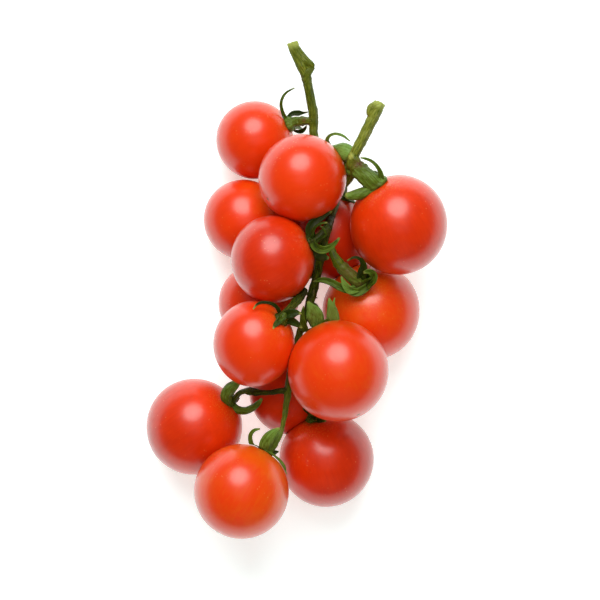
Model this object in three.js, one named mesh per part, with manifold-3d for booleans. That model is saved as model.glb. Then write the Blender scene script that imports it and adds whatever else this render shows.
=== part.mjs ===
// A truss of fourteen cherry tomatoes, cut from the vine and laid down on a flat surface.
//
// Millimetres, +Z up, +Y towards the cut ends of the stalks. Eight fruit lie on the surface and six lie on
// those. A stem runs between the two layers: a main stalk, a side stalk and a short arm to each fruit. Each
// arm ends at a knuckle, where a ripe fruit snaps off. Past the knuckle, the end of the arm, its seat on the
// fruit and five sepals are one green piece, the calyx.

import * as THREE from "three";
import { mergeVertices } from "three/addons/utils/BufferGeometryUtils.js";
import Module from "manifold-3d";

// ---- Driving dimensions -------------------------------------------------------------------------------

const FRUIT = 32; // mean diameter of a fruit; places below are in multiples of it
const CLEARANCE = 0.35; // gap between neighbouring pieces
const DIMPLE_DEPTH = 0.9; // hollow round the stem end of a fruit
const DIMPLE_RADIUS = 3.2;
const STALK = 3.4; // diameter of the main stalk at its cut end
const SIDE_STALK = 3.0;
const STALK_TAPER = 0.66; // the far end of a stalk over its cut end
const ARM = 2.3; // diameter of an arm where it leaves a stalk
const ARM_END = 3.3; // and where it meets the fruit
const KNUCKLE = 3.6; // diameter of the ring at the knuckle
const KNUCKLE_LENGTH = 2.4;
const KNUCKLE_GAP = 0.6; // between the two halves of an arm, where it snaps off
const SEAT = 6.2; // diameter of the green disc on the fruit
const SEAT_HEIGHT = 1.5;
const SEPAL_LENGTH = 13.5;
const SEPAL_WIDTH = 4.0; // at its widest
const SEPAL_THICKNESS = 0.8;
const BUD_STUB = 3.4; // length of the scar left by a lost fruit on a stalk

// ---- Mesh fineness ------------------------------------------------------------------------------------

const FRUIT_SEGMENTS = 16;
const FRUIT_RINGS = 10;
const STALK_SIDES = 8;
const ARM_SIDES = 6;
const SEPAL_SIDES = 4;
const SEPAL_STEPS = 6;
const ARM_STEPS = 12;
const BEAD_SPACING = 0.8;

// ---- Layout -------------------------------------------------------------------------------------------

// The lower layer comes first, because each fruit comes down on those before it.
// at: place on the surface, in fruit diameters. size: this fruit's diameter over the mean.
// stem: the way its stem end points. arm: the stalk it hangs from, the waypoint it leaves at, and any bends.
// snap: how far along the arm its knuckle is.
// sepals: [turn, lift, curl, reach]: degrees round the stem axis from the topmost, degrees above the skin at
// the root and at the tip, and the length over the usual one.
const TOMATOES = [
  {
    name: "07", at: [0.87, -0.27], size: 1.13, stem: [-0.23, 0.56, 0.79],
    arm: { stalk: "main", from: 9.3, bends: [[0.53, 0.32, 1.16]] }, snap: 0.6,
    sepals: [[-112, 14, 30, 1.15], [-45, 42, 78, 0.85], [18, 30, 62, 0.7], [80, 38, 150, 1.0], [146, 48, 150, 1.05]],
  },
  {
    name: "06", at: [0.35, 0.69], size: 0.96, stem: [0.3, 0.9, 0.3],
    arm: { stalk: "main", from: 5.4, bends: [[0.52, 1.36, 0.64]] }, snap: 0.5,
    sepals: [[-100, 4, 10, 0.8], [-30, 30, 60, 0.6], [45, 0, 0, 0.8], [110, 4, 10, 0.9], [180, 6, 20, 0.9]],
  },
  {
    name: "03", at: [-0.62, 0.82], size: 0.94, stem: [0.75, 0.5, 0.28],
    arm: { stalk: "main", from: 5.9, bends: [[0.0, 1.24, 0.62]] }, snap: 0.42,
    sepals: [[-80, 5, 20, 0.9], [-10, 0, 0, 0.8], [60, 0, 0, 0.9], [130, 4, 20, 0.9], [200, 6, 20, 0.9]],
  },
  {
    name: "01", at: [-0.49, 1.75], size: 0.91, stem: [0.88, 0.38, 0.28],
    arm: { stalk: "main", from: 4.4, bends: [] }, snap: 0.3,
    sepals: [[-88, 2, 84, 1.1], [-150, 30, 100, 1.05], [-15, 12, 40, 0.6], [60, 8, 60, 0.8], [130, 20, 70, 0.9]],
  },
  {
    name: "08", at: [-0.45, -0.15], size: 0.93, stem: [0.75, 0.5, 0.43],
    arm: { stalk: "main", from: 10.6, bends: [[0.08, 0.2, 0.79]] }, snap: 0.34,
    sepals: [[-90, 0, 0, 0.8], [-20, 0, 0, 0.7], [55, 0, 0, 0.8], [120, 4, 20, 0.9], [195, 4, 20, 0.9]],
  },
  {
    name: "14", at: [-0.13, -1.08], size: 0.88, stem: [0.62, 0.5, 0.6],
    arm: { stalk: "main", from: 13.3, bends: [[0.14, -0.7, 0.87]] }, snap: 0.5,
    sepals: [[-85, 0, 0, 0.8], [-10, 0, 0, 0.7], [60, 0, 0, 0.9], [125, 0, 10, 0.9], [200, 0, 10, 0.8]],
  },
  {
    name: "13", at: [0.35, -1.96], size: 1.1, stem: [-0.28, 0.9, 0.32],
    arm: { stalk: "main", from: 16.0, bends: [[0.04, -1.36, 0.96]] }, snap: 0.6,
    sepals: [[-88, 5, 20, 1.0], [-20, 2, 0, 0.8], [50, 2, 0, 0.9], [115, 5, 20, 0.9], [190, 10, 20, 0.9]],
  },
  {
    name: "11", at: [-1.19, -1.58], size: 1.11, stem: [0.77, 0.58, 0.28],
    arm: { stalk: "main", from: 15.0, bends: [[-0.3, -1.06, 1.04], [-0.58, -1.12, 0.88]] }, snap: 0.5,
    sepals: [[-72, 6, 118, 1.1], [-130, 10, 60, 0.8], [-8, 6, 20, 0.5], [92, 42, 96, 1.15], [160, 20, 60, 0.8]],
  },
  {
    name: "04", at: [-0.27, 0.36], size: 0.94, stem: [0.9, 0.4, 0.12],
    arm: { stalk: "main", from: 8.0, bends: [] }, snap: 0.4,
    sepals: [[-88, 20, 84, 0.95], [-22, 14, 50, 0.6], [90, 42, 92, 1.1], [150, 10, 40, 0.8], [-145, 10, 40, 0.8]],
  },
  {
    name: "02", at: [0.06, 1.28], size: 0.98, stem: [0.78, 0.5, -0.37],
    arm: { stalk: "side", from: 3.0, bends: [[0.56, 1.63, 1.2]] }, snap: 0.5,
    sepals: [[-95, 22, 150, 1.05], [-30, 10, 40, 0.6], [70, 4, 10, 0.7], [130, 6, 20, 0.8], [-160, 10, 40, 0.8]],
  },
  {
    name: "05", at: [1.14, 0.74], size: 1.1, stem: [-0.48, 0.81, 0.33],
    arm: { stalk: "side", from: 3.4, bends: [] }, snap: 0.3,
    sepals: [[96, 34, 150, 1.1], [-88, 16, 54, 1.1], [10, 20, 60, 0.5], [165, 14, 40, 0.9], [-140, 10, 40, 0.9]],
  },
  {
    name: "09", at: [-0.5, -0.6], size: 0.91, stem: [0.68, 0.61, 0.41],
    arm: { stalk: "main", from: 11.0, bends: [[0.04, -0.1, 1.3]] }, snap: 0.5,
    sepals: [[-96, 6, -12, 1.0], [-4, 4, -6, 0.62], [-160, 20, 50, 0.8], [84, 30, 60, 0.8], [150, 20, 50, 0.8]],
  },
  {
    name: "10", at: [0.475, -0.905], size: 1.12, stem: [-0.4, 0.85, -0.35],
    arm: { stalk: "main", from: 12.0, bends: [[0.2, -0.22, 1.08]] }, snap: 0.55,
    sepals: [[-60, 30, 76, 1.0], [2, 44, 66, 0.95], [66, 44, 80, 0.95], [125, 10, 30, 0.8], [-140, 10, 30, 0.8]],
  },
  {
    name: "12", at: [-0.62, -2.25], size: 1.065, stem: [0.5, 0.83, -0.2],
    arm: { stalk: "main", from: 16.6, bends: [[-0.2, -1.56, 1.14]] }, snap: 0.3,
    sepals: [[-96, 32, 138, 0.85], [-6, 44, 74, 0.9], [90, 6, -14, 1.0], [150, 24, 60, 0.8], [-150, 24, 60, 0.8]],
  },
];

// Waypoints of the stalks from the cut end down, in fruit diameters.
const STALKS = {
  main: [
    [-0.06, 2.8, 0.84], [0.0, 2.67, 0.84], [0.08, 2.53, 0.83], [0.125, 2.28, 0.79], [0.16, 2.03, 0.75],
    [0.2, 1.74, 0.7], [0.28, 1.4, 0.69], [0.42, 1.08, 0.88], [0.39, 0.82, 1.06], [0.33, 0.62, 1.08],
    [0.26, 0.34, 1.03], [0.21, 0.06, 0.99], [0.15, -0.18, 0.95], [0.05, -0.46, 0.93], [-0.05, -0.76, 0.96],
    [-0.08, -1.06, 1.06], [-0.11, -1.24, 1.1], [-0.15, -1.4, 1.12],
  ],
  side: [
    [0.89, 2.05, 1.38], [0.8, 1.87, 1.38], [0.7, 1.69, 1.36], [0.62, 1.52, 1.32], [0.63, 1.36, 1.12],
    [0.56, 1.22, 0.94], [0.42, 1.08, 0.88],
  ],
};

// Scars of lost fruit: the stalk, the waypoint, the way they point and their size over the usual one.
const STUBS = [
  { stalk: "main", from: 1.9, toward: [0.86, -0.35, 0.2], size: 1.0 },
  { stalk: "side", from: 0.45, toward: [-0.8, 0.1, 0.5], size: 0.72 },
];

// ---- Fruit places -------------------------------------------------------------------------------------

// Brings a fruit straight down until it meets the surface or a fruit that already lies there.
function restHeight(x, y, radius, laid) {
  let height = radius;
  for (const other of laid) {
    const reach = radius + other.radius + CLEARANCE;
    const across = Math.hypot(x - other.centre.x, y - other.centre.y);
    if (across < reach) {
      height = Math.max(height, other.centre.z + Math.sqrt(reach * reach - across * across));
    }
  }
  return height;
}

function layFruit() {
  const laid = [];
  for (const row of TOMATOES) {
    const radius = (row.size * FRUIT) / 2;
    const [x, y] = row.at.map((share) => share * FRUIT);
    const centre = new THREE.Vector3(x, y, restHeight(x, y, radius, laid));
    const stem = new THREE.Vector3(...row.stem).normalize();
    laid.push({ ...row, radius, centre, axis: stem });
  }
  return laid;
}

const fruits = layFruit();

// Balls that green parts pass round: every fruit, then beads along each green part that is already in place.
const obstacles = fruits.map((fruit) => {
  return { centre: fruit.centre, radius: fruit.radius, owner: `tomato_${fruit.name}` };
});

// Moves a point out of every obstacle. roomBeside gives what it needs beside each owner, or null where it may
// touch.
function clearOf(point, roomBeside) {
  const moved = point.clone();
  for (let pass = 0; pass < 12; pass += 1) {
    for (const { centre, radius, owner } of obstacles) {
      const room = roomBeside(owner);
      const away = moved.clone().sub(centre);
      if (room !== null && away.length() < radius + room) {
        moved.copy(centre).addScaledVector(away.normalize(), radius + room);
      }
    }
  }
  return moved;
}

function addBeads(curve, radiusAt, owner) {
  const count = Math.ceil(curve.getLength() / BEAD_SPACING);
  for (let i = 0; i <= count; i += 1) {
    obstacles.push({ centre: curve.getPointAt(i / count), radius: radiusAt(i / count), owner });
  }
}

// ---- Curves and solids --------------------------------------------------------------------------------

const wasm = await Module();
wasm.setup();

const vector = (shares) => new THREE.Vector3(...shares).multiplyScalar(FRUIT);
const smooth = (points) => new THREE.CatmullRomCurve3(points, false, "catmullrom", 0.5);

// Part of a curve, between two shares of its length.
function stretch(curve, from, to, steps = 8) {
  const points = [];
  for (let i = 0; i <= steps; i += 1) {
    points.push(curve.getPointAt(from + ((to - from) * i) / steps));
  }
  return smooth(points);
}

// A closed bar along a curve: a capped cylinder, bent to follow it. sectionAt gives the half width and half
// thickness at a share of the length; side is the way that the width runs, where that matters.
function sweep(curve, sides, steps, sectionAt, side = null) {
  const bar = new THREE.CylinderGeometry(1, 1, 1, sides, steps);
  const frames = curve.computeFrenetFrames(steps, false);
  const spot = bar.getAttribute("position");
  const corner = new THREE.Vector3();
  for (let i = 0; i < spot.count; i += 1) {
    corner.fromBufferAttribute(spot, i);
    const step = Math.round((corner.y + 0.5) * steps);
    const along = frames.tangents[step];
    const across = side ? side.clone().addScaledVector(along, -side.dot(along)).normalize() : frames.binormals[step];
    const above = new THREE.Vector3().crossVectors(across, along);
    const [half, thick] = sectionAt(step / steps);
    const place = curve.getPointAt(step / steps);
    place.addScaledVector(across, corner.x * half).addScaledVector(above, corner.z * thick);
    spot.setXYZ(i, place.x, place.y, place.z);
  }
  return solid(bar);
}

function solid(geometry) {
  const bare = new THREE.BufferGeometry();
  bare.setAttribute("position", geometry.getAttribute("position"));
  bare.setIndex(geometry.getIndex());
  const merged = mergeVertices(bare, 1e-4);
  return new wasm.Manifold(
    new wasm.Mesh({
      numProp: 3,
      vertProperties: new Float32Array(merged.getAttribute("position").array),
      triVerts: new Uint32Array(merged.getIndex().array),
    }),
  );
}

// The seat: a low round plate, narrower on the side away from the fruit.
function seat(centre, axis) {
  const plate = new THREE.CylinderGeometry(SEAT * 0.36, SEAT / 2, SEAT_HEIGHT, 10);
  plate.applyQuaternion(new THREE.Quaternion().setFromUnitVectors(new THREE.Vector3(0, 1, 0), axis));
  plate.translate(centre.x, centre.y, centre.z);
  return solid(plate);
}

function joined(pieces) {
  return pieces.reduce((whole, piece) => whole.add(piece));
}

function meshOf(made, name, material) {
  const data = made.getMesh();
  const geometry = new THREE.BufferGeometry();
  geometry.setAttribute("position", new THREE.BufferAttribute(data.vertProperties, 3));
  geometry.setIndex(new THREE.BufferAttribute(data.triVerts, 1));
  geometry.computeVertexNormals();
  const mesh = new THREE.Mesh(geometry, material);
  mesh.name = name;
  return mesh;
}

// ---- Materials ----------------------------------------------------------------------------------------

const skin = new THREE.MeshStandardMaterial({ color: 0xd93a0c, roughness: 0.32, metalness: 0 });
const stemGreen = new THREE.MeshStandardMaterial({ color: 0x55691f, roughness: 0.7, metalness: 0 });
const sepalGreen = new THREE.MeshStandardMaterial({ color: 0x5f8a2c, roughness: 0.65, metalness: 0 });

// ---- Fruit --------------------------------------------------------------------------------------------

// The fruit's outline from the blossom end to the stem end, turned about its own axis.
function fruitProfile(radius) {
  const outline = [];
  for (let ring = 0; ring <= FRUIT_RINGS; ring += 1) {
    const angle = (Math.PI * ring) / FRUIT_RINGS;
    const across = radius * Math.sin(angle);
    const dimple = DIMPLE_DEPTH * Math.exp(-((across / DIMPLE_RADIUS) ** 2));
    const up = -radius * Math.cos(angle);
    outline.push(new THREE.Vector2(across, up > 0 ? up - dimple : up));
  }
  outline[0].x = 0;
  outline[FRUIT_RINGS].x = 0;
  return outline;
}

function makeFruit(fruit) {
  const body = new THREE.LatheGeometry(fruitProfile(fruit.radius), FRUIT_SEGMENTS);
  const mesh = new THREE.Mesh(body, skin);
  mesh.name = `tomato_${fruit.name}`;
  mesh.position.copy(fruit.centre);
  mesh.quaternion.setFromUnitVectors(new THREE.Vector3(0, 1, 0), fruit.axis);
  return mesh;
}

// ---- Stem routes --------------------------------------------------------------------------------------

const stalkSize = { main: STALK, side: SIDE_STALK };
const stalkCurves = {};
for (const [name, waypoints] of Object.entries(STALKS)) {
  const points = smooth(waypoints.map(vector)).getPoints(3 * (waypoints.length - 1));
  stalkCurves[name] = smooth(points.map((point) => clearOf(point, () => stalkSize[name] / 2 + CLEARANCE)));
}
for (const [name, curve] of Object.entries(stalkCurves)) {
  addBeads(curve, (share) => stalkRadius(name, share), "stem");
}

function stalkRadius(name, share) {
  return (stalkSize[name] / 2) * THREE.MathUtils.lerp(1, STALK_TAPER, share);
}

function stalkPoint(stalk, waypoint) {
  return stalkCurves[stalk].getPoint(waypoint / (STALKS[stalk].length - 1));
}

// Half the size of an arm at a share of its length, with the ring of the knuckle added.
function armRadius(fruit, share) {
  const plain = THREE.MathUtils.lerp(ARM, ARM_END, share) / 2;
  const off = ((share - fruit.snap) * fruit.armLength) / (KNUCKLE_LENGTH / 2);
  return plain + (KNUCKLE / 2 - plain) * Math.exp(-off * off);
}

// The middle of the seat, which sits down in the hollow of the fruit.
function seatCentre(fruit) {
  const height = fruit.radius - 0.7 * DIMPLE_DEPTH + CLEARANCE + SEAT_HEIGHT / 2;
  return fruit.centre.clone().addScaledVector(fruit.axis, height);
}

// An arm runs from its stalk through its bends, and meets the fruit square to the skin. Up to its knuckle it
// is one with the stalks. Past it, it stays clear of them, so the knuckle is never inside the stalk.
function layArm(fruit) {
  const end = seatCentre(fruit);
  const start = stalkPoint(fruit.arm.stalk, fruit.arm.from);
  const straight = Math.min(4, end.distanceTo(start) / 3);
  const above = end.clone().addScaledVector(fruit.axis, straight);
  const raw = smooth([start, ...fruit.arm.bends.map(vector), above, end]);
  const stalkEdge = stalkSize[fruit.arm.stalk] / 2 + KNUCKLE / 2 + CLEARANCE;
  fruit.snap = Math.max(fruit.snap, stalkEdge / raw.getLength());
  const points = raw.getSpacedPoints(ARM_STEPS).map((point, i) => {
    const touches = [`tomato_${fruit.name}`, i < ARM_STEPS * fruit.snap ? "stem" : ""];
    return clearOf(point, (owner) => (touches.includes(owner) ? null : KNUCKLE / 2 + CLEARANCE));
  });
  const path = smooth(points);
  fruit.armLength = path.getLength();
  const half = KNUCKLE_GAP / 2 / fruit.armLength;
  fruit.armParts = [
    { from: 0, to: fruit.snap - half, curve: stretch(path, 0, fruit.snap - half), owner: "stem" },
    { from: fruit.snap + half, to: 1, curve: stretch(path, fruit.snap + half, 1), owner: `calyx_${fruit.name}` },
  ];
  for (const { from, to, curve, owner } of fruit.armParts) {
    addBeads(curve, (share) => armRadius(fruit, from + (to - from) * share), owner);
  }
}

fruits.forEach(layArm);

function armPart(fruit, part, steps) {
  const { from, to, curve } = fruit.armParts[part];
  const section = (share) => {
    const radius = armRadius(fruit, from + (to - from) * share);
    return [radius, radius];
  };
  return sweep(curve, ARM_SIDES, steps, section);
}

// ---- Stem ---------------------------------------------------------------------------------------------

function stub({ stalk, from, toward, size }) {
  const root = stalkPoint(stalk, from);
  const way = new THREE.Vector3(...toward).normalize();
  const tip = root.clone().addScaledVector(way, BUD_STUB * size + stalkSize[stalk] / 4);
  const taper = (share) => {
    const radius = THREE.MathUtils.lerp(stalkSize[stalk] * 0.55, ARM * 0.42, share);
    return [radius, radius];
  };
  return sweep(new THREE.LineCurve3(root, tip), ARM_SIDES, 2, taper);
}

function makeStem() {
  const pieces = [];
  for (const [name, curve] of Object.entries(stalkCurves)) {
    const section = (share) => [stalkRadius(name, share), stalkRadius(name, share)];
    pieces.push(sweep(curve, STALK_SIDES, 2 * STALKS[name].length, section));
  }
  pieces.push(...fruits.map((fruit) => armPart(fruit, 0, 4)));
  pieces.push(...STUBS.map(stub));
  return meshOf(joined(pieces), "stem", stemGreen);
}

// ---- Calyx --------------------------------------------------------------------------------------------

// Two directions square to the stem axis: the topmost one, and the one a quarter turn on.
function aroundAxis(axis) {
  const top = new THREE.Vector3(0, 0, 1).addScaledVector(axis, -axis.z).normalize();
  return [top, new THREE.Vector3().crossVectors(axis, top)];
}

// What the middle of a sepal needs: it lies flat on its own fruit, and may meet anything else edge on.
function sepalRoom(fruit, owner, share) {
  if (owner === `calyx_${fruit.name}`) {
    return null;
  }
  const onSkin = SEPAL_THICKNESS + CLEARANCE;
  return owner === `tomato_${fruit.name}` ? onSkin : sepalSection(share)[0] + 2 * CLEARANCE;
}

// A sepal leaves the seat outwards, lifted off the skin by lift degrees, and ends at curl degrees.
function sepalCurve(fruit, [turn, lift, curl, reach]) {
  const [top, next] = aroundAxis(fruit.axis);
  const angle = THREE.MathUtils.degToRad(turn);
  const out = top.multiplyScalar(Math.cos(angle)).addScaledVector(next, Math.sin(angle));
  const spot = seatCentre(fruit).addScaledVector(out, SEAT / 8);
  const points = [spot.clone()];
  const stride = (SEPAL_LENGTH * reach) / SEPAL_STEPS;
  for (let step = 0; step < SEPAL_STEPS; step += 1) {
    const share = (step + 0.5) / SEPAL_STEPS;
    const rise = THREE.MathUtils.degToRad(THREE.MathUtils.lerp(lift, curl, share));
    spot.addScaledVector(out, Math.cos(rise) * stride).addScaledVector(fruit.axis, Math.sin(rise) * stride);
    spot.copy(clearOf(spot, (owner) => sepalRoom(fruit, owner, share)));
    points.push(spot.clone());
  }
  return { curve: smooth(points), side: new THREE.Vector3().crossVectors(fruit.axis, out) };
}

// Half the width and thickness of a sepal: broad near its root, drawn out to a point.
function sepalSection(share) {
  const wide = 0.62 + 0.38 * Math.sin(Math.PI * Math.min(1, share / 0.56));
  const taper = share < 0.3 ? 1 : Math.cos(((share - 0.3) / 0.7) * (Math.PI / 2));
  const half = (SEPAL_WIDTH / 2) * wide * Math.max(taper, 0.06);
  return [half, (SEPAL_THICKNESS / 2) * Math.max(1 - share * 0.5, 0.3)];
}

function makeCalyx(fruit) {
  const pieces = [armPart(fruit, 1, 4), seat(seatCentre(fruit), fruit.axis)];
  const name = `calyx_${fruit.name}`;
  const sepals = fruit.sepals.map((row) => sepalCurve(fruit, row));
  for (const { curve, side } of sepals) {
    pieces.push(sweep(curve, SEPAL_SIDES, SEPAL_STEPS, sepalSection, side));
    addBeads(curve, (share) => sepalSection(share)[0], name);
  }
  return meshOf(joined(pieces), name, sepalGreen);
}

// ---- Assembly -----------------------------------------------------------------------------------------

const truss = new THREE.Group();
truss.add(makeStem());
for (const fruit of fruits) {
  truss.add(makeFruit(fruit), makeCalyx(fruit));
}

// The origin is the middle of the underside.
const extent = new THREE.Box3().setFromObject(truss, true);
truss.position.set(-(extent.min.x + extent.max.x) / 2, -(extent.min.y + extent.max.y) / 2, -extent.min.z);

export default truss;
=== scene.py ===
"""The truss of tomatoes in its finished looks: fruit with skin, a grown stem, leafy calyxes and fine hairs."""

import math

import bpy
import numpy as np
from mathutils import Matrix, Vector, noise
from mathutils.kdtree import KDTree


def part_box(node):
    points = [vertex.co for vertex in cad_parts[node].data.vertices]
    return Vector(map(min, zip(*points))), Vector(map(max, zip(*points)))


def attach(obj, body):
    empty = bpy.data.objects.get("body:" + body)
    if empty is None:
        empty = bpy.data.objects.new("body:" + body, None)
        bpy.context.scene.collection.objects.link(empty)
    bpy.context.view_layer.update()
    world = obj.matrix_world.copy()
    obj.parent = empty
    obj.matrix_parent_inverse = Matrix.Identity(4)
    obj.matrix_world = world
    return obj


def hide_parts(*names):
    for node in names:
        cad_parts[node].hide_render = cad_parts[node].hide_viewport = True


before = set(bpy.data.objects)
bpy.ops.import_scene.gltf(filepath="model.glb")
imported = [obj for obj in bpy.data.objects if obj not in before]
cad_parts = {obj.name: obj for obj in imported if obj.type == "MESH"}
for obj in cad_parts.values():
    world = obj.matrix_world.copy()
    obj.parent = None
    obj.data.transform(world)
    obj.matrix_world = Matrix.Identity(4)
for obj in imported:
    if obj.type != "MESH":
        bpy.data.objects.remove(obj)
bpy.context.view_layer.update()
MM = 0.001

# ---- Growth plan, in millimetres -------------------------------------------------------------------------

# Each fruit: the way its stem end points, how tall it is for its width, how ripe it is (0 orange, 1 deep red; past 1,
# as the 1.3 on fruit 06 that lies shaded at the back, it is painted shade), and how far the grown fruit sits from its
# round solid and is drawn out along Y.
FRUIT = {
    "01": ((0.88, 0.38, 0.28), 1.0, 0.5, (0, 0, 0), 1.0),
    "02": ((0.78, 0.5, -0.37), 1.01, 0.5, (0, -1.0, 0), 1.0),
    "03": ((0.75, 0.5, 0.28), 0.99, 0.5, (0, 0, 0), 1.0),
    "04": ((0.9, 0.4, 0.12), 1.0, 0.8, (0, -0.6, 0), 1.05),
    "05": ((-0.48, 0.81, 0.33), 0.99, 0.75, (0, -0.3, 0), 1.03),
    "06": ((0.3, 0.9, 0.3), 1.0, 1.3, (0.6, -1.8, 0), 1.07),
    "07": ((-0.23, 0.56, 0.79), 0.99, 0.42, (-0.4, 0.8, 0), 1.0),
    "08": ((0.75, 0.5, 0.43), 1.0, 0.5, (0, 0, 0), 1.0),
    "09": ((0.68, 0.61, 0.41), 1.01, 0.5, (0.7, 0, 0), 1.06),
    "10": ((-0.4, 0.85, -0.35), 0.99, 0.4, (-0.6, 0.3, 0), 1.01),
    "11": ((0.77, 0.58, 0.28), 1.0, 0.74, (0, 0, 0), 1.0),
    "12": ((0.5, 0.83, -0.2), 0.99, 0.27, (0, 0, 0), 1.0),
    "13": ((-0.28, 0.9, 0.32), 0.99, 0.86, (-0.4, 0, 0), 1.0),
    "14": ((0.62, 0.5, 0.6), 1.0, 0.9, (0.4, -3.0, 0), 1.14),
}

# Middle lines of the two stalks, from the cut end down, each point with the radius there.
STALKS = {
    "main": [
        (-0.9, 89.7, 26.9, 2.09), (0.1, 87, 26.9, 2.09), (1.4, 84.3, 26.8, 2.12), (2.6, 81.4, 26.6, 2.12),
        (4, 78.3, 26.2, 1.94), (4.9, 74.1, 25.3, 1.69), (5.8, 69.4, 24.4, 1.66), (6.8, 64.8, 23.5, 1.8),
        (7, 60.1, 22.8, 1.66), (7.1, 55.7, 22.4, 1.62), (9.4, 45.6, 22, 1.6), (13.8, 36.4, 25.4, 1.7),
        (14.2, 31, 29.6, 1.6), (12.4, 23, 34, 1.5), (10.8, 17.4, 35, 1.45), (9.6, 13.1, 34.6, 1.89),
        (8.8, 8.8, 33.4, 1.66), (8.2, 4.8, 32.2, 1.51), (6.9, -0.3, 31, 1.76), (5.7, -4.6, 30.4, 1.66),
        (4.5, -9, 30, 1.44), (2.4, -14.5, 29.8, 1.3), (0.6, -21, 30.4, 1.25), (-1, -28, 32.2, 1.3),
        (-1.9, -33.1, 33.6, 1.3), (-2.3, -37.1, 34, 1.33), (-3.1, -42.8, 34.6, 1.12), (-3.8, -47.4, 35.3, 0.9),
        (-4.5, -50.3, 35.7, 0.83),
    ],
    "side": [
        (30.3, 65.7, 44.2, 2.09), (28.6, 62, 44.2, 2.02), (26.5, 57.8, 44, 1.98), (24.2, 53.2, 43.6, 1.98),
        (22.2, 49.4, 43.2, 1.91), (20.9, 46.6, 42.5, 1.94), (20.3, 44.2, 41, 1.98), (20.7, 41.8, 34.4, 1.7),
        (19.4, 39.4, 31.2, 1.7), (17, 36.6, 29, 1.6), (14.3, 33.4, 28, 1.6),
    ],
}

# Arms: the points from the stalk to just short of the fruit, with radii, and the share of the way to the knuckle.
ARMS = {
    "01": (
        0.42,
        [
            (6.4, 61.5, 23, 1.26), (3.1, 61.6, 22, 1.62), (0.5, 61.4, 20.4, 1.62), (-1.7, 61, 18.8, 1.98),
        ],
    ),
    "02": (
        0.4,
        [
            (20.9, 46.3, 41.6, 1.62), (18.1, 48.6, 39.5, 1.98), (15.6, 49.3, 36.5, 1.98),
        ],
    ),
    "03": (
        0.42,
        [
            (9.4, 45.4, 22, 1.2), (3.6, 41, 20.4, 1.5), (-2.4, 36.8, 20.5, 1.2),
        ],
    ),
    "04": (
        0.45,
        [
            (13, 25, 34, 1.3), (12.3, 23, 37, 1.5), (11, 20.2, 40.6, 1.4),
        ],
    ),
    "05": (
        0.22,
        [
            (21.1, 44.2, 41.2, 2.34), (23.5, 41.4, 43, 3.06), (26.2, 38.6, 44.6, 3.33),
            (28.2, 36.7, 43.8, 3.42),
        ],
    ),
    "06": (
        0.5,
        [
            (8.4, 50.6, 22, 1.2), (12.6, 47.2, 21.2, 1.6), (17.6, 43, 20.6, 1.3),
        ],
    ),
    "07": (
        0.42,
        [
            (12.8, 15.9, 35.4, 1.26), (14, 12.3, 36.4, 1.44), (15.8, 9, 37.2, 1.89), (17.8, 6.7, 37.4, 2.16),
            (20.3, 4.4, 37.4, 2.43), (22.8, 2.4, 36, 2.61),
        ],
    ),
    "08": (
        0.4,
        [
            (8.4, 5.6, 32.2, 1.2), (6.2, 5.3, 29.2, 1.6), (2.4, 5, 24.2, 1.3),
        ],
    ),
    "09": (
        0.35,
        [
            (3.4, -0.6, 34.5, 1.44), (1.3, -3.9, 40, 1.62), (-1.5, -7.4, 45, 1.44), (-4, -9.9, 48, 1.62),
        ],
    ),
    "10": (
        0.5,
        [
            (5.6, -5.6, 30.6, 1.2), (7.2, -7.2, 33.6, 1.6), (7.2, -9.6, 36.8, 1.4),
        ],
    ),
    "11": (
        0.5,
        [
            (-2.3, -36.5, 33.9, 1.26), (-7.6, -37.5, 33.8, 1.01), (-12.1, -37.7, 32.6, 1.01),
            (-15.4, -37.4, 31.2, 1.4),
            (-17.6, -37.3, 30, 1.04), (-20, -38.1, 28, 0.97), (-22.4, -40.7, 25, 1.26),
        ],
    ),
    "12": (
        0.15,
        [
            (-4.5, -49.9, 35.6, 0.83), (-5.4, -52.7, 36.8, 1.08), (-7.3, -55.9, 37, 1.44),
            (-9.2, -58.1, 36, 1.62),
        ],
    ),
    "13": (
        0.6,
        [
            (-1.6, -32, 33.2, 1.1), (1.2, -35, 32.4, 1.1), (4.2, -38.2, 30.8, 1.2), (6.5, -42, 28.4, 1.5),
            (6.8, -44.6, 25.8, 1.4),
        ],
    ),
    "14": (
        0.5,
        [
            (1.2, -18.6, 29.9, 1.1), (4, -21.2, 28.8, 1.5), (7.2, -24.8, 26.8, 1.3),
        ],
    ),
}

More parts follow.
